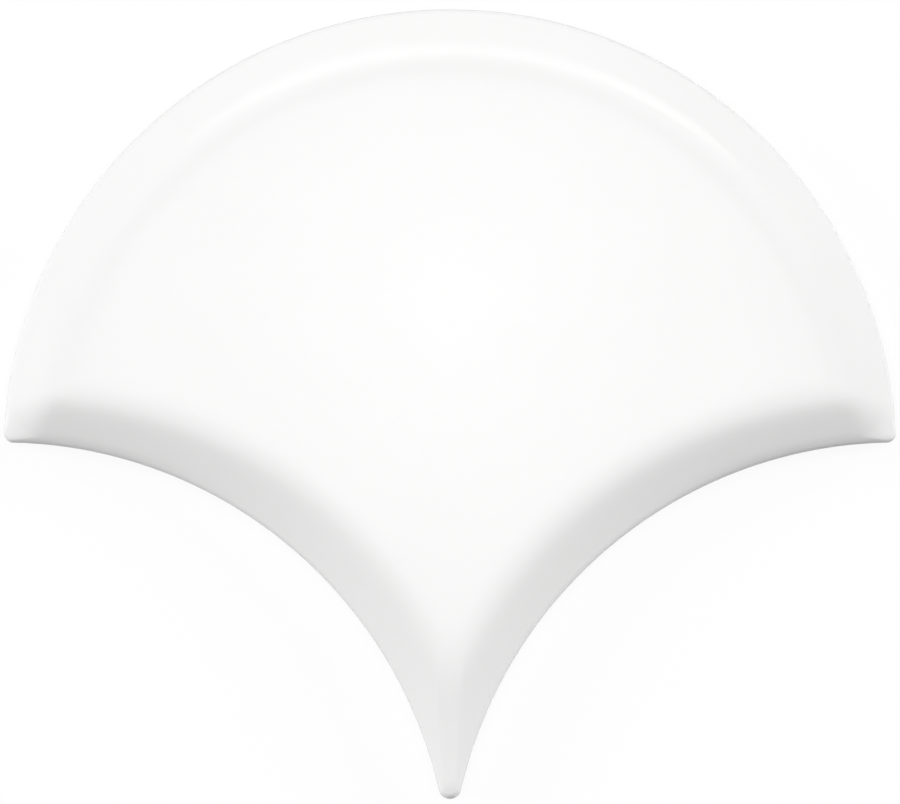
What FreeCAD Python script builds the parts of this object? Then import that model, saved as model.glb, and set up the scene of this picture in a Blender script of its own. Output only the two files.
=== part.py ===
import FreeCAD, Part
import math
import os

from FreeCAD import Vector

# Outline in plan, all of it arcs
HEAD_RADIUS = 60.0      # convex head, and the hollow flanks that take the heads of the next course
COURSE_PITCH = 58.2     # from one course's head centres down to the next course's
NOSE_RADIUS = 1.55      # round tip where the two flanks come together
CORNER_RADIUS = 1.3     # round corners where the head meets the flanks

# Section through the edge
THICKNESS = 9.0         # back to the top of the crowned face
CROWN_RADIUS = 4000.0   # slight dome of the face
BEVEL_WIDTH = 6.4       # in plan, from the side wall to the ridge before it is rounded
BEVEL_TILT = 30.0       # degrees out of level
RIDGE_RADIUS = 7.2      # soft turn from the bevel into the face
RIM_RADIUS = 1.1        # eased arris between the bevel and the side wall

# Keying pattern pressed into the back
BACK_BORDER = 6.0       # plain band along the outline
POCKET_SIDE = 9.0       # square pockets
POCKET_DEPTH = 0.6
RIB_WIDTH = 2.0         # lattice left standing between the pockets

# Working allowances
CUT_MARGIN = 1.0        # how far a shape that is cut away runs past the cut
SEW_TOLERANCE = 1e-5

# Where the arcs' centres lie: the origin is under the middle of the tile, +Y towards the head
nose_rise = math.sqrt((HEAD_RADIUS + NOSE_RADIUS) ** 2 - HEAD_RADIUS ** 2)
head_y = (COURSE_PITCH - nose_rise + NOSE_RADIUS - HEAD_RADIUS) / 2
flank_y = head_y - COURSE_PITCH
HEAD_CENTRE = Vector(0, head_y, 0)
FLANK_CENTRE = Vector(HEAD_RADIUS, flank_y, 0)
NOSE_CENTRE = Vector(0, flank_y + nose_rise, 0)

# The middle of the face lies as far from the head as from either flank
face_drop = (3 * HEAD_RADIUS ** 2 - COURSE_PITCH ** 2) / (4 * HEAD_RADIUS + 2 * COURSE_PITCH)
FACE_CENTRE = Vector(0, head_y + face_drop, 0)

# Heights of the ridge, where the bevel would meet the crown at the top of the head, and of the rim
bevel_slope = math.tan(math.radians(BEVEL_TILT))
ridge_reach = head_y + HEAD_RADIUS - BEVEL_WIDTH - FACE_CENTRE.y
ridge_height = THICKNESS - CROWN_RADIUS + math.sqrt(CROWN_RADIUS ** 2 - ridge_reach ** 2)
rim_height = ridge_height - BEVEL_WIDTH * bevel_slope


def along(centre, target, radius):
    """Return the point at a radius from a centre, in the direction of a target."""
    direction = target - centre
    direction.normalize()
    return centre + direction * radius


def mirrored(point):
    """Return a point's twin on the other side of the tile's middle line."""
    return Vector(-point.x, point.y, point.z)


def corner_centre():
    """Return the centre of the right corner's arc, which touches the head and the right flank."""
    head_reach = HEAD_RADIUS - CORNER_RADIUS
    flank_reach = HEAD_RADIUS + CORNER_RADIUS
    across = FLANK_CENTRE - HEAD_CENTRE
    foot = (head_reach ** 2 - flank_reach ** 2 + across.Length ** 2) / (2 * across.Length)
    offset = math.sqrt(head_reach ** 2 - foot ** 2)
    across.normalize()
    return HEAD_CENTRE + across * foot + Vector(-across.y, across.x, 0) * offset


def outline_wire():
    """Return the tile's outline: head, two corners, two flanks and the nose, each one arc."""
    corner = corner_centre()
    head_end = along(HEAD_CENTRE, corner, HEAD_RADIUS)
    flank_top = along(FLANK_CENTRE, corner, HEAD_RADIUS)
    flank_foot = along(FLANK_CENTRE, NOSE_CENTRE, HEAD_RADIUS)
    corner_middle = along(corner, (head_end + flank_top) / 2, CORNER_RADIUS)
    flank_middle = along(FLANK_CENTRE, (flank_top + flank_foot) / 2, HEAD_RADIUS)
    head_top = HEAD_CENTRE + Vector(0, HEAD_RADIUS, 0)
    nose_tip = NOSE_CENTRE - Vector(0, NOSE_RADIUS, 0)
    arcs = [
        Part.Arc(head_end, head_top, mirrored(head_end)),
        Part.Arc(mirrored(head_end), mirrored(corner_middle), mirrored(flank_top)),
        Part.Arc(mirrored(flank_top), mirrored(flank_middle), mirrored(flank_foot)),
        Part.Arc(mirrored(flank_foot), nose_tip, flank_foot),
        Part.Arc(flank_foot, flank_middle, flank_top),
        Part.Arc(flank_top, corner_middle, head_end),
    ]
    return Part.Wire([arc.toShape() for arc in arcs])


def bevelled_blank(outline):
    """Return the solid that the side wall and the bevel enclose, carried round the outline with mitres."""
    roof_height = THICKNESS + CUT_MARGIN
    roof_reach = (roof_height - rim_height) / bevel_slope
    profile = Part.makePolygon([
        Vector(0, 0, 0),
        Vector(0, 0, rim_height),
        Vector(0, roof_reach, roof_height),
    ])
    return outline.makeEvolved(Profile=profile, Join=0, AxeProf=True, Solid=True,
                               ProfOnSpine=False, Tolerance=SEW_TOLERANCE)


def crowned(blank):
    """Return the blank with its top cut to the slight dome of the face."""
    centre = FACE_CENTRE + Vector(0, 0, THICKNESS - CROWN_RADIUS)
    dome = Part.makeSphere(CROWN_RADIUS, centre, Vector(1, 0, 0))
    # a quarter turn takes the sphere's seam off the face
    dome.rotate(centre, Vector(1, 0, 0), 90)
    return blank.common(dome).Solids[0]


def edges_between(solid, surface, other):
    """Return the edges along which a face of one surface type meets a face of another."""
    found = {}
    for face in solid.Faces:
        for edge in face.Edges:
            found.setdefault(edge.hashCode(), (edge, []))[1].append(face.Surface.TypeId)
    return [edge for edge, types in found.values() if sorted(types) == sorted((surface, other))]


def eased(body):
    """Return the body with its ridge rounded into the face and the arris of its rim taken off."""
    ridge = edges_between(body, "Part::GeomCone", "Part::GeomSphere")
    body = body.makeFillet(RIDGE_RADIUS, ridge)
    rim = edges_between(body, "Part::GeomCone", "Part::GeomCylinder")
    return body.makeFillet(RIM_RADIUS, rim)


def keying_pockets(outline):
    """Return the pockets of the back: a square grid with ribs on both middle lines, clipped to the border."""
    field = Part.Face(outline).makeOffset2D(-BACK_BORDER)
    pitch = POCKET_SIDE + RIB_WIDTH
    bounds = field.BoundBox
    columns = range(math.floor(bounds.XMin / pitch), math.ceil(bounds.XMax / pitch))
    rows = range(math.floor(bounds.YMin / pitch), math.ceil(bounds.YMax / pitch))
    pockets = []
    for column in columns:
        for row in rows:
            corner = Vector(column * pitch + RIB_WIDTH / 2, row * pitch + RIB_WIDTH / 2, 0)
            clipped = Part.makePlane(POCKET_SIDE, POCKET_SIDE, corner).common(field)
            # a clipping smaller than a stretch of rib would not press cleanly
            if clipped.Area > RIB_WIDTH * POCKET_SIDE:
                pockets.append(clipped.Faces[0].extrude(Vector(0, 0, POCKET_DEPTH)))
    return Part.makeCompound(pockets)


outline = outline_wire()
tile = eased(crowned(bevelled_blank(outline)))
tile = tile.cut(keying_pockets(outline))
tile = tile.Solids[0]

os.makedirs("parts", exist_ok=True)
tile.exportStep("parts/fish_scale_tile.step")
print("fish_scale_tile", tile.isValid(), round(tile.Volume, 1), tile.BoundBox)
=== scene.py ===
"""Fish scale wall tile: one white glazed scale with a bevelled edge, lying on its keyed back."""

import logging
import math
from dataclasses import dataclass, field
from enum import Enum

import bmesh
import bpy
from mathutils import Matrix, Vector, noise


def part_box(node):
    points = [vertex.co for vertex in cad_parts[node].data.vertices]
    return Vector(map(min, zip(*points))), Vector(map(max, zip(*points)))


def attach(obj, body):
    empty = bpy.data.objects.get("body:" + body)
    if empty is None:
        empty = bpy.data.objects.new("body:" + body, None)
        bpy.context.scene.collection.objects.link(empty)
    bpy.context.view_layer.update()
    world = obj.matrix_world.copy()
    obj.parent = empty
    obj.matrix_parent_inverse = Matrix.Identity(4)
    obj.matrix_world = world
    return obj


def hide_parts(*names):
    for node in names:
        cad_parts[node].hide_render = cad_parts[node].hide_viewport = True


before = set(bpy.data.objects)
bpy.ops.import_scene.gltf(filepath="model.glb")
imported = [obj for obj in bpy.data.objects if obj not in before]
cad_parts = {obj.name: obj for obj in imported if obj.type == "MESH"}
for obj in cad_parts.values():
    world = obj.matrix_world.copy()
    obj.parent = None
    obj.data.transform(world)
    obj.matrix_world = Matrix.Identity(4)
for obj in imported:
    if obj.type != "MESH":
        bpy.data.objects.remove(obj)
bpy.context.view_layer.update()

Colour = tuple[float, float, float, float]
Stations = tuple[tuple[float, float], ...]

MM = 0.001
UP = Vector((0.0, 0.0, 1.0))
WHITE: Colour = (1.0, 1.0, 1.0, 1.0)
NODE = "fish_scale_tile"
LOG = logging.getLogger(NODE)


class Coat(Enum):
    """What covers a stretch of the fired body; the value is its place in the tile's material list."""

    GLAZE = 0
    BISCUIT = 1


class Duty(Enum):
    """What a studio lamp is there for: to light the tile, or to show in its glaze."""

    FILL = "lights"
    SHEEN = "shows"


class LampShape(Enum):
    """Shape of a studio lamp's face; the value is Blender's name for it."""

    OBLONG = "RECTANGLE"
    OVAL = "ELLIPSE"

    def fill(self) -> float:
        """Return the share of its length times width that the shape covers."""
        return math.pi / 4 if self is LampShape.OVAL else 1.0


@dataclass(frozen=True)
class Arc:
    """One arc of a ring: its centre in plan, the angle it sweeps and the steps it is made in."""

    centre: Vector
    sweep: float
    steps: int


@dataclass(frozen=True)
class Ring:
    """One closed ring of the section: how far it is set in, how high it lies and how it strays from that.

    A ring with no height of its own lies on the surface in which the bevel eases into the face.
    """

    inset: float
    coat: Coat
    height: float | None = None
    waver: float = 0.0
    sways: bool = False


def sweep_between(centre: Vector, start: Vector, end: Vector) -> float:
    """Work out the signed angle that takes one point round to another.

    Args:
        centre: Point that the turn goes round.
        start: Point that the turn starts from.
        end: Point that the turn ends at.

    Returns:
        The angle in radians, positive anticlockwise seen from above.
    """
    first = start - centre
    last = end - centre
    return math.atan2(first.x * last.y - first.y * last.x, first.dot(last))


def mirrored(point: Vector) -> Vector:
    """Return a point's twin across the tile's middle line."""
    return Vector((-point.x, point.y, point.z))


def eased_step(share: float) -> float:
    """Return a share held between 0 and 1 and eased at both ends."""
    held = min(1.0, max(0.0, share))
    return held * held * (3.0 - 2.0 * held)


def radius_at(stations: Stations, inset: float) -> float:
    """Read a radius off a row of stations.

    Args:
        stations: Pairs of an inset and the radius there, from the outline inwards.
        inset: Distance from the outline.

    Returns:
        The radius, in proportion between two stations and constant beyond the first and the last.
    """
    for (near, first), (far, last) in zip(stations, stations[1:]):
        if inset <= far:
            share = max(0.0, (inset - near) / (far - near))
            return first + (last - first) * share
    return stations[-1][1]


@dataclass
class ScalePlan:
    """The tile seen from above: a round head, two shoulder corners, two hollow flanks and a nose."""

    top: float
    head_radius: float = 60.0 * MM
    course_pitch: float = 58.2 * MM
    # the mitres are rounded by radii that change from the outline inwards
    corner_radii: Stations = ((0.3 * MM, 1.3 * MM), (1.0 * MM, 4.2 * MM), (6.4 * MM, 0.9 * MM))
    nose_radii: Stations = (
        (0.0 * MM, 1.55 * MM), (0.6 * MM, 1.0 * MM), (3.5 * MM, 1.9 * MM), (6.4 * MM, 2.2 * MM),
    )
    # where the stem and the stretch under a shoulder begin, how long they take to come in full, and how
    # wide the turn from the head to that stretch is
    stem_start: float = -8.0 * MM
    stem_blend: float = 28.0 * MM
    shoulder_start: float = 20.0 * MM
    shoulder_blend: float = 24.0 * MM
    shoulder_turn: float = 2.5 * MM
    head_steps: int = 216
    corner_steps: int = 12
    flank_steps: int = 90
    nose_steps: int = 18

    def head_centre(self) -> Vector:
        """Return the centre of the head's arc."""
        return Vector((0.0, self.top - self.head_radius, 0.0))

    def flank_centre(self) -> Vector:
        """Return the centre of the right flank's arc."""
        return self.head_centre() + Vector((self.head_radius, -self.course_pitch, 0.0))

    def face_centre(self) -> Vector:
        """Find the middle of the face.

        Returns:
            The place on the middle line that is as far from the head as from either flank.
        """
        span = 4 * self.head_radius + 2 * self.course_pitch
        rise = (3 * self.head_radius ** 2 - self.course_pitch ** 2) / span
        return self.head_centre() + Vector((0.0, rise, 0.0))

    def shoulder_share(self, point: Vector) -> float:
        """Tell how far a place lies under a shoulder.

        Args:
            point: Place on the tile, read in plan.

        Returns:
            1 along the flank under a shoulder, 0 on the head and at the nose.
        """
        spot = Vector((abs(point.x), point.y, 0.0))
        from_flank = (spot - self.flank_centre()).length - self.head_radius
        from_head = self.head_radius - (spot - self.head_centre()).length
        along = (spot.x - self.shoulder_start) / self.shoulder_blend
        across = (from_head - from_flank) / self.shoulder_turn
        return eased_step(along) * eased_step(across)

    def nose_share(self, point: Vector) -> float:
        """Return how near a place is to the nose: 0 in the middle of the tile, 1 along the stem."""
        return eased_step((self.stem_start - point.y) / self.stem_blend)

    def corner_centre(self, inset: float, radius: float) -> Vector:
        """Find the centre of the right corner's arc on an inset ring.

        Args:
            inset: Distance of the ring from the outline.
            radius: Radius of the corner on that ring.

        Returns:
            The centre, from which the arc touches the head and the right flank.
        """
        head = self.head_centre()
        across = self.flank_centre() - head
        head_reach = self.head_radius - inset - radius
        flank_reach = self.head_radius + inset + radius
        foot = (head_reach ** 2 - flank_reach ** 2 + across.length_squared) / (2 * across.length)
        offset = math.sqrt(head_reach ** 2 - foot ** 2)
        along = across.normalized()
        return head + along * foot + Vector((-along.y, along.x, 0.0)) * offset

    def nose_centre(self, inset: float, radius: float) -> Vector:
        """Find the centre of the nose's arc on an inset ring.

        Args:
            inset: Distance of the ring from the outline.
            radius: Radius of the nose on that ring.

        Returns:
            The centre, from which the arc touches both flanks.
        """
        reach = self.head_radius + inset + radius
        rise = math.sqrt(reach ** 2 - self.head_radius ** 2)
        return Vector((0.0, self.flank_centre().y + rise, 0.0))

    def ring_course(self, inset: float) -> tuple[Vector, list[Arc]]:
        """Lay out one ring, clockwise from the left end of the head.

        Args:
            inset: Distance of the ring from the outline.

        Returns:
            The starting point and the six arcs that follow from it.
        """
        head = self.head_centre()
        flank = self.flank_centre()
        corner_radius = radius_at(self.corner_radii, inset)
        nose_radius = radius_at(self.nose_radii, inset)
        corner = self.corner_centre(inset, corner_radius)
        nose = self.nose_centre(inset, nose_radius)
        head_end = head + (corner - head).normalized() * (self.head_radius - inset)
        flank_top = flank + (corner - flank).normalized() * (self.head_radius + inset)
        flank_foot = flank + (nose - flank).normalized() * (self.head_radius + inset)
        start = mirrored(head_end)
        corner_sweep = sweep_between(corner, head_end, flank_top)
        flank_sweep = sweep_between(flank, flank_top, flank_foot)
        nose_sweep = sweep_between(nose, flank_foot, mirrored(flank_foot))
        return start, [
            Arc(head, sweep_between(head, start, head_end), self.head_steps),
            Arc(corner, corner_sweep, self.corner_steps),
            Arc(flank, flank_sweep, self.flank_steps),
            Arc(nose, nose_sweep, self.nose_steps),
            Arc(mirrored(flank), flank_sweep, self.flank_steps),
            Arc(mirrored(corner), corner_sweep, self.corner_steps),
        ]


@dataclass
class EdgeSection:
    """The tile cut through its edge: back edge, side wall, arris, bevel, soft ridge and crowned face."""

    thickness: float
    crown_radius: float = 4000.0 * MM
    bevel_width: float = 6.4 * MM
    bevel_tilt: float = math.radians(30.0)
    ridge_ease: float = 0.75 * MM
    rim_radius: float = 1.2 * MM
    # the bevel rides up along the stem and droops near the rim under the shoulders
    nose_rise: float = 0.45 * MM
    droop_depth: float = 0.32 * MM
    droop_reach: float = 1.7 * MM
    # the back edge is rounded off through a point at this share of its width and height
    back_edge: float = 0.3 * MM
    back_turn: float = 0.3
    # the glaze ends in a wavering line on the wall, where its lip goes in and up by shares of its film
    glaze_film: float = 0.1 * MM
    glaze_line: float = 1.3 * MM
    glaze_waver: float = 0.35 * MM
    glaze_lip: Stations = ((0.3, 0.6), (0.0, 2.0))
    arris_steps: int = 9
    bevel_steps: int = 10
    ridge_steps: int = 20
    ridge_before: float = 2.5 * MM
    ridge_beyond: float = 4.2 * MM

    def face_height(self, reach: float) -> float:
        """Return the height of the crowned face at a distance from its middle."""
        return self.thickness - reach ** 2 / (2 * self.crown_radius)

    def rim_height(self, plan: ScalePlan) -> float:
        """Return where the bevel would meet the side wall, from the ridge at the top of the head."""
        reach = plan.top - self.bevel_width - plan.face_centre().y
        return self.face_height(reach) - self.bevel_width * math.tan(self.bevel_tilt)

    def arris_centre(self, plan: ScalePlan) -> float:
        """Return the height of the centre that the arris is rounded about."""
        rise = self.rim_radius * (math.tan(self.bevel_tilt) - 1 / math.cos(self.bevel_tilt))
        return self.rim_height(plan) + rise

    def eased_height(self, plan: ScalePlan, inset: float, point: Vector) -> float:
        """Work out the height where the bevel eases into the face.

        Args:
            plan: Outline that the bevel runs along.
            inset: Distance from the outline.
            point: Place on the tile, read in plan.

        Returns:
            The height of the glazed surface there.
        """
        slope = math.tan(self.bevel_tilt)
        bevel = self.rim_height(plan) + inset * slope + self.sway(plan, inset, point)
        face = self.face_height((point - plan.face_centre()).to_2d().length)
        ease = self.ridge_ease * slope
        return bevel - ease * math.log1p(math.exp((bevel - face) / ease))

    def sway(self, plan: ScalePlan, inset: float, point: Vector) -> float:
        """Work out how far the bevel strays from its section: up at the nose, down under the shoulders.

        Args:
            plan: Outline that the bevel runs along.
            inset: Distance from the outline.
            point: Place on the tile, read in plan.

        Returns:
            The change in height there.
        """
        fall = max(0.0, 1.0 - inset / self.droop_reach) ** 2
        droop = self.droop_depth * fall * plan.shoulder_share(point)
        return self.nose_rise * plan.nose_share(point) - droop

    def wall_rings(self, plan: ScalePlan) -> list[Ring]:
        """List the rings of the bare body and of the glaze that ends part of the way down the wall.

        Args:
            plan: Outline that the wall stands on.

        Returns:
            The rings from the back edge up to the middle of the glazed wall.
        """
        line = self.glaze_line
        film = self.glaze_film
        turn = self.back_turn * self.back_edge
        lip = [
            Ring(inset * film, Coat.GLAZE, line + rise * film, self.glaze_waver)
            for inset, rise in self.glaze_lip
        ]
        return [
            Ring(film + self.back_edge, Coat.BISCUIT, 0.0),
            Ring(film + turn, Coat.BISCUIT, turn),
            Ring(film, Coat.BISCUIT, self.back_edge),
            Ring(film, Coat.BISCUIT, line, self.glaze_waver),
            *lip,
            Ring(0.0, Coat.GLAZE, (line + self.arris_centre(plan)) / 2),
        ]

    def arris_rings(self, plan: ScalePlan) -> list[Ring]:
        """List the rings of the rounded arris.

        Args:
            plan: Outline that the arris runs along.

        Returns:
            The rings from the side wall to the bevel.
        """
        rings = []
        for step in range(self.arris_steps + 1):
            angle = (math.pi / 2 - self.bevel_tilt) * step / self.arris_steps
            inset = self.rim_radius * (1 - math.cos(angle))
            height = self.arris_centre(plan) + self.rim_radius * math.sin(angle)
            rings.append(Ring(inset, Coat.GLAZE, height, sways=True))
        return rings

    def slope_rings(self) -> list[Ring]:
        """List the rings of the bevel and of the eased ridge.

        Returns:
            The rings from the arris to the face, closer together round the ridge.
        """
        foot = self.rim_radius * (1 - math.sin(self.bevel_tilt))
        start = self.bevel_width - self.ridge_before
        span = self.ridge_before + self.ridge_beyond
        insets = [foot + (start - foot) * step / self.bevel_steps for step in range(1, self.bevel_steps)]
        insets += [start + span * step / self.ridge_steps for step in range(self.ridge_steps + 1)]
        return [Ring(inset, Coat.GLAZE) for inset in insets]


@dataclass
class KeyedBack:
    """The unglazed back: a plain border round a grid of shallow pressed pockets."""

    border: float = 6.0 * MM
    pocket_side: float = 9.0 * MM
    rib_width: float = 2.0 * MM
    depth: float = 0.6 * MM
    draft: float = 0.5 * MM
    # a pocket's soft wall goes in and up in steps, by shares of the draft and of the depth
    wall_shares: Stations = ((0.15, 0.06), (0.40, 0.34), (0.62, 0.68), (0.82, 0.93), (1.0, 1.0))
    cut_snap: float = 0.0001 * MM

    def pitch(self) -> float:
        """Return the distance from one rib to the next."""
        return self.pocket_side + self.rib_width

    def in_pocket(self, point: Vector) -> bool:
        """Tell whether a place on the back lies in a pocket and not on a rib."""
        offsets = (abs(value - self.pitch() * round(value / self.pitch())) for value in point.xy)
        return all(offset > self.rib_width / 2 for offset in offsets)

    @staticmethod
    def marked(bm: bmesh.types.BMesh, mark: int) -> list[bmesh.types.BMFace]:
        """Return the faces whose material place is the mark."""
        return [face for face in bm.faces if face.material_index == mark]

    def cut_ribs(self, bm: bmesh.types.BMesh, reach: float, mark: int) -> None:
        """Cut the field of the back along both sides of every rib.

        Args:
            bm: Mesh that holds the back.
            reach: How far the field goes from the middle.
            mark: Material place that marks the field.
        """
        last = math.ceil(reach / self.pitch())
        for axis in (Vector((1, 0, 0)), Vector((0, 1, 0))):
            for line in range(-last, last + 1):
                for side in (-self.rib_width / 2, self.rib_width / 2):
                    cells = self.marked(bm, mark)
                    parts = {part for face in cells for part in (*face.verts, *face.edges)}
                    bmesh.ops.bisect_plane(
                        bm, geom=[*cells, *parts], dist=self.cut_snap,
                        plane_co=axis * (line * self.pitch() + side), plane_no=axis,
                    )

    def sink(self, bm: bmesh.types.BMesh, pockets: list[bmesh.types.BMFace]) -> None:
        """Sink the pockets, step by step down their soft walls.

        Args:
            bm: Mesh that holds the back.
            pockets: The faces that become the pockets' floors.
        """
        reached = (0.0, 0.0)
        for share in self.wall_shares:
            width = (share[0] - reached[0]) * self.draft
            rise = (share[1] - reached[1]) * self.depth
            bmesh.ops.inset_individual(bm, faces=pockets, thickness=width, use_even_offset=False)
            floor = list({vert for face in pockets for vert in face.verts})
            bmesh.ops.translate(bm, verts=floor, vec=UP * rise)
            reached = share

    def press(self, bm: bmesh.types.BMesh, back: bmesh.types.BMFace, mark: int) -> None:
        """Press the pockets into the flat field of the back.

        Args:
            bm: Mesh that holds the back.
            back: The field inside the border, one flat face.
            mark: Material place that marks the field while it is cut up.
        """
        back.material_index = mark
        reach = max(abs(value) for vert in back.verts for value in vert.co.xy)
        self.cut_ribs(bm, reach, mark)
        # a clipped pocket no bigger than the rib beside a whole one is left out
        least = self.rib_width * self.pocket_side
        cells = [face for face in self.marked(bm, mark) if face.calc_area() > least]
        self.sink(bm, [face for face in cells if self.in_pocket(face.calc_center_median())])
        for face in self.marked(bm, mark):
            face.material_index = Coat.BISCUIT.value


class NodeBoard:
    """A node tree with short ways to add nodes and join their sockets."""

    def __init__(self, tree: bpy.types.NodeTree) -> None:
        """Keep the tree that nodes are added to."""
        self.tree = tree

    def add(self, kind: str, **inputs: object) -> bpy.types.Node:
        """Add one node and set or join its inputs.

        Args:
            kind: Blender's name for the node type.
            **inputs: Values or output sockets by input name, with _ for a space; the name of one of the
                node's own properties sets that property.

        Returns:
            The new node.
        """
        node = self.tree.nodes.new(kind)
        for name, value in inputs.items():
            if hasattr(node, name):
                setattr(node, name, value)
        for name, value in inputs.items():
            if not hasattr(node, name):
                self.join(node.inputs[name.replace("_", " ")], value)
        return node

    def join(self, socket: bpy.types.NodeSocket, value: object) -> None:
        """Link an output socket to an input, or set a plain value on it.

        Args:
            socket: Input to feed.
            value: Output socket or plain value.
        """
        if isinstance(value, bpy.types.NodeSocket):
            self.tree.links.new(value, socket)
        else:
            socket.default_value = value

    def blend(self, factor: object, first: object, second: object) -> bpy.types.NodeSocket:
        """Mix two colours.

        Args:
            factor: Share of the second colour, a value or an output socket.
            first: Colour or output socket.
            second: Colour or output socket.

        Returns:
            The socket that gives the mixed colour.
        """
        node = self.add("ShaderNodeMix", data_type="RGBA", Factor=factor)
        sockets = {socket.identifier: socket for socket in (*node.inputs, *node.outputs)}
        self.join(sockets["A_Color"], first)
        self.join(sockets["B_Color"], second)
        return sockets["Result_Color"]

    def reckon(self, operation: str, *values: object) -> bpy.types.NodeSocket:
        """Add a sum whose result is held between 0 and 1.

        Args:
            operation: Blender's name for the kind of sum.
            *values: Numbers or output sockets, in the order that the sum takes them.

        Returns:
            The socket that gives the result.
        """
        node = self.add("ShaderNodeMath", operation=operation, use_clamp=True)
        for socket, value in zip(node.inputs, values):
            self.join(socket, value)
        return node.outputs[0]


@dataclass(frozen=True)
class FiredGrain:
    """What firing leaves in glaze and body alike: a broad mottle, a fine grain and specks."""

    mottle_detail: float = 3.0
    grain_detail: float = 4.0
    # a speck is full up to the first distance from its middle and gone at the second, in cells
    speck_core: float = 0.10
    speck_edge: float = 0.16

    def group(self) -> bpy.types.NodeTree:
        """Build the node group that both finishes share.

        Returns:
            A group that takes the scales of mottle, grain and specks, and gives a mask for each.
        """
        group = bpy.data.node_groups.new("fired_grain", "ShaderNodeTree")
        for name in ("Mottle Scale", "Grain Scale", "Speck Scale"):
            group.interface.new_socket(name, in_out="INPUT", socket_type="NodeSocketFloat")
        for name in ("Mottle", "Grain", "Specks"):
            group.interface.new_socket(name, in_out="OUTPUT", socket_type="NodeSocketFloat")
        board = NodeBoard(group)
        scales = board.add("NodeGroupInput").outputs
        place = board.add("ShaderNodeTexCoord").outputs["Object"]
        mottle = board.add("ShaderNodeTexNoise", Vector=place, Scale=scales["Mottle Scale"],
                           Detail=self.mottle_detail)
        grain = board.add("ShaderNodeTexNoise", Vector=place, Scale=scales["Grain Scale"],
                          Detail=self.grain_detail)
        cells = board.add("ShaderNodeTexVoronoi", Vector=place, Scale=scales["Speck Scale"])
        specks = board.add("ShaderNodeMapRange", Value=cells.outputs["Distance"],
                           From_Min=self.speck_core, From_Max=self.speck_edge, To_Min=1.0, To_Max=0.0)
        board.add("NodeGroupOutput", Mottle=mottle.outputs["Fac"], Grain=grain.outputs["Fac"],
                  Specks=specks.outputs["Result"])
        return group


@dataclass(frozen=True)
class WhiteGlaze:
    """Glossy white glaze: thicker and thinner in a faint broad mottle, with a slight orange peel."""

    full: Colour = (0.905, 0.905, 0.902, 1.0)
    thin: Colour = (0.885, 0.885, 0.881, 1.0)
    ior: float = 1.5
    mottle_scale: float = 45.0
    # the range of the mottle over which the glaze goes from its smoothest to its roughest
    mottle_low: float = 0.3
    mottle_high: float = 0.7
    smoothest: float = 0.035
    roughest: float = 0.06
    peel_scale: float = 260.0
    peel_depth: float = 0.004 * MM
    peel_strength: float = 1.0

    def material(self, grain: bpy.types.NodeTree) -> bpy.types.Material:
        """Make the glaze's material.

        Args:
            grain: Group of mottle and grain that both finishes share.

        Returns:
            The material.
        """
        material = bpy.data.materials.new("white_glaze")
        material.use_nodes = True
        board = NodeBoard(material.node_tree)
        shader = material.node_tree.nodes["Principled BSDF"].inputs
        shader["IOR"].default_value = self.ior
        fired = board.add("ShaderNodeGroup", node_tree=grain, Mottle_Scale=self.mottle_scale,
                          Grain_Scale=self.peel_scale).outputs
        rough = board.add("ShaderNodeMapRange", Value=fired["Mottle"],
                          From_Min=self.mottle_low, From_Max=self.mottle_high,
                          To_Min=self.smoothest, To_Max=self.roughest)
        bump = board.add("ShaderNodeBump", Height=fired["Grain"], Strength=self.peel_strength,
                         Distance=self.peel_depth)
        board.join(shader["Base Color"], board.blend(fired["Mottle"], self.thin, self.full))
        board.join(shader["Roughness"], rough.outputs["Result"])
        board.join(shader["Normal"], bump.outputs["Normal"])
        return material


@dataclass(frozen=True)
class FiredBiscuit:
    """Bare fired body: matt warm white with a fine pressed grain and a few darker specks."""

    light: Colour = (0.80, 0.765, 0.70, 1.0)
    dark: Colour = (0.72, 0.68, 0.61, 1.0)
    speck: Colour = (0.60, 0.55, 0.48, 1.0)
    mottle_scale: float = 120.0
    speck_scale: float = 420.0
    smoothest: float = 0.78
    roughest: float = 0.98
    grain_scale: float = 2200.0
    grain_depth: float = 0.06 * MM
    grain_strength: float = 0.8

    def material(self, grain: bpy.types.NodeTree) -> bpy.types.Material:
        """Make the biscuit's material.

        Args:
            grain: Group of mottle and grain that both finishes share.

        Returns:
            The material.
        """
        material = bpy.data.materials.new("fired_biscuit")
        material.use_nodes = True
        board = NodeBoard(material.node_tree)
        shader = material.node_tree.nodes["Principled BSDF"].inputs
        fired = board.add("ShaderNodeGroup", node_tree=grain, Mottle_Scale=self.mottle_scale,
                          Grain_Scale=self.grain_scale, Speck_Scale=self.speck_scale).outputs
        tone = board.blend(fired["Mottle"], self.dark, self.light)
        rough = board.add("ShaderNodeMapRange", Value=fired["Grain"],
                          To_Min=self.smoothest, To_Max=self.roughest)
        bump = board.add("ShaderNodeBump", Height=fired["Grain"], Strength=self.grain_strength,
                         Distance=self.grain_depth)
        board.join(shader["Base Color"], board.blend(fired["Specks"], tone, self.speck))
        board.join(shader["Roughness"], rough.outputs["Result"])
        board.join(shader["Normal"], bump.outputs["Normal"])
        return material


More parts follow.
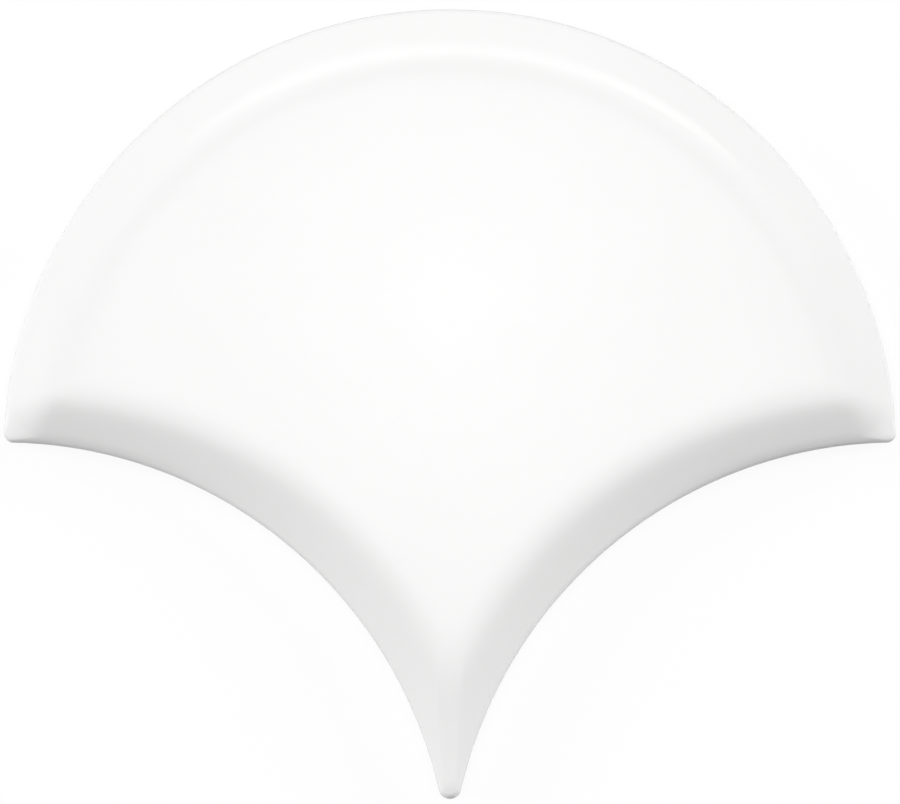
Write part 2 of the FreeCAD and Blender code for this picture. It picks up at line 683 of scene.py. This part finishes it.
@dataclass
class ScaleTile:
    """The tile itself, one fired piece: plan, edge section and back, and what covers them."""

    plan: ScalePlan
    section: EdgeSection
    back: KeyedBack = field(default_factory=KeyedBack)
    grain: FiredGrain = field(default_factory=FiredGrain)
    glaze: WhiteGlaze = field(default_factory=WhiteGlaze)
    biscuit: FiredBiscuit = field(default_factory=FiredBiscuit)
    # each ring of the face is drawn in to a share of the one before it
    face_shares: tuple[float, ...] = (0.9, 0.88, 0.85, 0.8, 0.75, 0.7, 0.5)
    crease_angle: float = math.radians(28.0)
    # scale of the noise that the glaze line wavers by
    waver_scale: float = 55.0

    def spin_ring(self, bm: bmesh.types.BMesh, inset: float, level: float) -> list[bmesh.types.BMEdge]:
        """Spin one closed ring, arc by arc, and lay it flat at a level.

        Args:
            bm: Mesh that the ring goes into.
            inset: Distance of the ring from the outline.
            level: Height that the ring is laid at.

        Returns:
            The ring's edges.
        """
        loop = bmesh.new()
        start, arcs = self.plan.ring_course(inset)
        first = loop.verts.new(start)
        last = first
        for arc in arcs:
            spun = bmesh.ops.spin(loop, geom=[last], cent=arc.centre, axis=UP,
                                  angle=arc.sweep, steps=arc.steps)
            last = spun["geom_last"][0]
        bmesh.ops.weld_verts(loop, targetmap={last: first})
        bmesh.ops.translate(loop, verts=loop.verts, vec=UP * level)
        mesh = bpy.data.meshes.new("ring")
        loop.to_mesh(mesh)
        loop.free()
        before = len(bm.edges)
        bm.from_mesh(mesh)
        bpy.data.meshes.remove(mesh)
        return list(bm.edges)[before:]

    def settle(self, edges: list[bmesh.types.BMEdge], ring: Ring) -> None:
        """Bring a ring from its working level to its height on the tile.

        Args:
            edges: The ring's edges.
            ring: Place of the ring in the section.
        """
        for vert in {vert for edge in edges for vert in edge.verts}:
            if ring.height is None:
                vert.co.z = self.section.eased_height(self.plan, ring.inset, vert.co)
            else:
                place = vert.co.to_2d().to_3d() * self.waver_scale
                stray = self.section.sway(self.plan, ring.inset, vert.co) if ring.sways else 0.0
                vert.co.z = ring.height + ring.waver * noise.noise(place) + stray

    def close_face(self, bm: bmesh.types.BMesh, rim: list[bmesh.types.BMEdge]) -> None:
        """Close the crowned face with rings drawn in towards its middle.

        Args:
            bm: Mesh that holds the tile.
            rim: Innermost ring of the ridge.
        """
        centre = self.plan.face_centre()
        for share in self.face_shares:
            drawn = bmesh.ops.extrude_edge_only(bm, edges=rim)["geom"]
            verts = [part for part in drawn if isinstance(part, bmesh.types.BMVert)]
            bmesh.ops.scale(bm, verts=verts, vec=(share, share, 1.0), space=Matrix.Translation(-centre))
            for vert in verts:
                vert.co.z = self.section.face_height((vert.co - centre).to_2d().length)
            inner = set(verts)
            edges = [part for part in drawn if isinstance(part, bmesh.types.BMEdge)]
            rim = [edge for edge in edges if inner.issuperset(edge.verts)]
        bmesh.ops.contextual_create(bm, geom=rim)

    def build(self) -> bpy.types.Object:
        """Model the whole tile.

        Returns:
            The tile's object, not yet dressed.
        """
        bm = bmesh.new()
        section = self.section
        # the second ring keeps the shading of the pockets' soft rims off the flat border
        flat = (self.back.border, self.back.border - self.back.draft)
        rings = [Ring(inset, Coat.BISCUIT, 0.0) for inset in flat]
        rings += section.wall_rings(self.plan) + section.arris_rings(self.plan) + section.slope_rings()
        # the rings are stacked a millimetre apart to be bridged, and come to their heights afterwards
        loops = [self.spin_ring(bm, ring.inset, level * MM) for level, ring in enumerate(rings)]
        for ring, below, edges in zip(rings[1:], loops, loops[1:]):
            for face in bmesh.ops.bridge_loops(bm, edges=below + edges)["faces"]:
                face.material_index = ring.coat.value
        for ring, edges in zip(rings, loops):
            self.settle(edges, ring)
        self.close_face(bm, loops[-1])
        self.back.press(bm, bmesh.ops.contextual_create(bm, geom=loops[0])["faces"][0], len(Coat))
        bmesh.ops.recalc_face_normals(bm, faces=bm.faces)
        for face in bm.faces:
            face.smooth = True
        for edge in bm.edges:
            edge.smooth = edge.calc_face_angle(0.0) < self.crease_angle
        mesh = bpy.data.meshes.new("scale_tile")
        bm.to_mesh(mesh)
        bm.free()
        tile = bpy.data.objects.new("scale_tile", mesh)
        bpy.context.scene.collection.objects.link(tile)
        return tile

    def dress(self, tile: bpy.types.Object) -> None:
        """Give the tile its glaze and its bare body, in the order of the coats.

        Args:
            tile: The tile's object.
        """
        grain = self.grain.group()
        tile.data.materials.append(self.glaze.material(grain))
        tile.data.materials.append(self.biscuit.material(grain))


@dataclass
class Softbox:
    """A studio lamp that faces the tile.

    Its glow is the brightness of its bare face. A spread of less than half a turn stands for a grid over
    the face, which gathers the same light into a narrower beam.
    """

    name: str
    place: tuple[float, float, float]
    size: tuple[float, float]
    glow: float
    duty: Duty
    shape: LampShape = LampShape.OBLONG
    spread: float = math.pi

    def build(self) -> bpy.types.Object:
        """Hang the lamp.

        Returns:
            The lamp's object.
        """
        lamp = bpy.data.lights.new(self.name, "AREA")
        lamp.shape = self.shape.value
        lamp.size, lamp.size_y = self.size
        lamp.energy = self.glow * math.pi * self.size[0] * self.size[1] * self.shape.fill()
        lamp.spread = self.spread
        hung = bpy.data.objects.new(self.name, lamp)
        hung.location = self.place
        hung.rotation_euler = (-Vector(self.place)).to_track_quat("-Z", "Y").to_euler()
        hung.visible_camera = False
        hung.visible_glossy = self.duty is Duty.SHEEN
        hung.visible_diffuse = self.duty is Duty.FILL
        bpy.context.scene.collection.objects.link(hung)
        return hung


@dataclass
class Studio:
    """The pale floor, the lamps, the room's own light and the camera straight above the tile."""

    floor_size: float = 8.0
    floor_drop: float = 0.05 * MM
    # the floor's colour where it is seen and where it only lights the tile, and how much of what is seen
    # is plain white; the rest keeps the shadows
    floor_colour: Colour = (0.96, 0.96, 0.96, 1.0)
    floor_bounce: Colour = (0.35, 0.35, 0.35, 1.0)
    floor_white: float = 0.91
    # the room's level where it lights the tile and where it is seen
    room_glow: float = 0.04
    room_white: float = 0.3
    # the picture takes in the seen width at the level of the tile's rim
    lens: float = 200.0
    sensor: float = 36.0
    seen_width: float = 120.8 * MM
    rim_level: float = 5.0 * MM
    shift_up: float = 0.27 * MM
    lamps: tuple[Softbox, ...] = (
        Softbox("gridded_card", (0.0, 0.025, 1.8), (0.85, 0.85), 0.0178, Duty.SHEEN,
                spread=math.radians(17.0)),
        Softbox("head_card", (0.034, 0.965, 0.870), (1.75, 0.50), 0.75, Duty.SHEEN, LampShape.OVAL),
        Softbox("head_right_card", (0.704, 0.704, 0.836), (0.95, 0.38), 0.35, Duty.SHEEN, LampShape.OVAL),
        Softbox("top_fill", (0.0, 0.1, 1.6), (1.0, 1.0), 5.19, Duty.FILL),
        Softbox("left_fill", (-1.343, 0.360, 0.562), (0.9, 0.5), 10.35, Duty.FILL),
        Softbox("right_fill", (1.290, 0.521, 0.562), (0.9, 0.5), 5.99, Duty.FILL),
        Softbox("right_low_fill", (1.343, 0.543, 0.388), (0.9, 0.4), 4.74, Duty.FILL),
    )

    @staticmethod
    def seeing_rays(board: NodeBoard) -> bpy.types.NodeSocket:
        """Add the nodes that tell a ray that sees the studio from one that only lights the tile.

        Args:
            board: Node tree to add them to.

        Returns:
            The output that is 1 for a ray from the camera, a gloss or a glass.
        """
        path = board.add("ShaderNodeLightPath").outputs
        mirrored_too = board.reckon("ADD", path["Is Glossy Ray"], path["Is Transmission Ray"])
        return board.reckon("ADD", path["Is Camera Ray"], mirrored_too)

    def floor_material(self) -> bpy.types.Material:
        """Make the floor's plain white, which keeps a share of its shadows.

        Returns:
            The material.
        """
        material = bpy.data.materials.new("pale_floor")
        material.use_nodes = True
        nodes = material.node_tree.nodes
        nodes.remove(nodes["Principled BSDF"])
        board = NodeBoard(material.node_tree)
        seen = self.seeing_rays(board)
        tone = board.blend(seen, self.floor_bounce, self.floor_colour)
        matt = board.add("ShaderNodeBsdfDiffuse", Color=tone)
        white = board.add("ShaderNodeEmission", Color=WHITE, Strength=1.0)
        mix = board.add("ShaderNodeMixShader")
        share = board.reckon("MULTIPLY", seen, self.floor_white)
        for socket, value in zip(mix.inputs, (share, matt.outputs[0], white.outputs[0])):
            board.join(socket, value)
        board.join(nodes["Material Output"].inputs["Surface"], mix.outputs[0])
        return material

    def build_floor(self) -> bpy.types.Object:
        """Lay the floor just under the tile.

        Returns:
            The floor's object.
        """
        bm = bmesh.new()
        bmesh.ops.create_grid(bm, x_segments=1, y_segments=1, size=self.floor_size / 2)
        bmesh.ops.translate(bm, verts=bm.verts, vec=-UP * self.floor_drop)
        mesh = bpy.data.meshes.new("floor")
        bm.to_mesh(mesh)
        bm.free()
        floor = bpy.data.objects.new("floor", mesh)
        bpy.context.scene.collection.objects.link(floor)
        mesh.materials.append(self.floor_material())
        return floor

    def build_room(self) -> None:
        """Set the even light of the room, whose pale walls show in the glaze."""
        world = bpy.data.worlds.new("room")
        world.use_nodes = True
        board = NodeBoard(world.node_tree)
        lift = self.room_white - self.room_glow
        level = board.reckon("MULTIPLY_ADD", self.seeing_rays(board), lift, self.room_glow)
        ground = world.node_tree.nodes["Background"].inputs
        ground["Color"].default_value = WHITE
        board.join(ground["Strength"], level)
        bpy.context.scene.world = world

    def build_camera(self) -> bpy.types.Object:
        """Set the camera straight above the tile, with its head at the top of the picture.

        Returns:
            The camera's object.
        """
        data = bpy.data.cameras.new("top_camera")
        data.lens = self.lens
        data.sensor_width = self.sensor
        camera = bpy.data.objects.new("top_camera", data)
        distance = self.seen_width * self.lens / self.sensor
        camera.location = (0.0, self.shift_up, self.rim_level + distance)
        bpy.context.scene.collection.objects.link(camera)
        bpy.context.scene.camera = camera
        return camera

    def build(self) -> None:
        """Set up floor, room, lamps and camera."""
        self.build_floor()
        self.build_room()
        for lamp in self.lamps:
            lamp.build()
        self.build_camera()


def main() -> None:
    """Build the tile and the studio round it, in order."""
    logging.basicConfig(level=logging.INFO)
    bpy.context.scene.view_settings.view_transform = "Standard"
    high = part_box(NODE)[1]
    tile_maker = ScaleTile(ScalePlan(top=high.y), EdgeSection(thickness=high.z))
    tile = tile_maker.build()
    tile_maker.dress(tile)
    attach(tile, "root")
    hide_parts(NODE)
    LOG.info("%s: %d faces, replaces %s", tile.name, len(tile.data.polygons), NODE)
    Studio().build()
    LOG.info("studio: floor, lamps and camera")


if __name__ == "__main__":
    main()
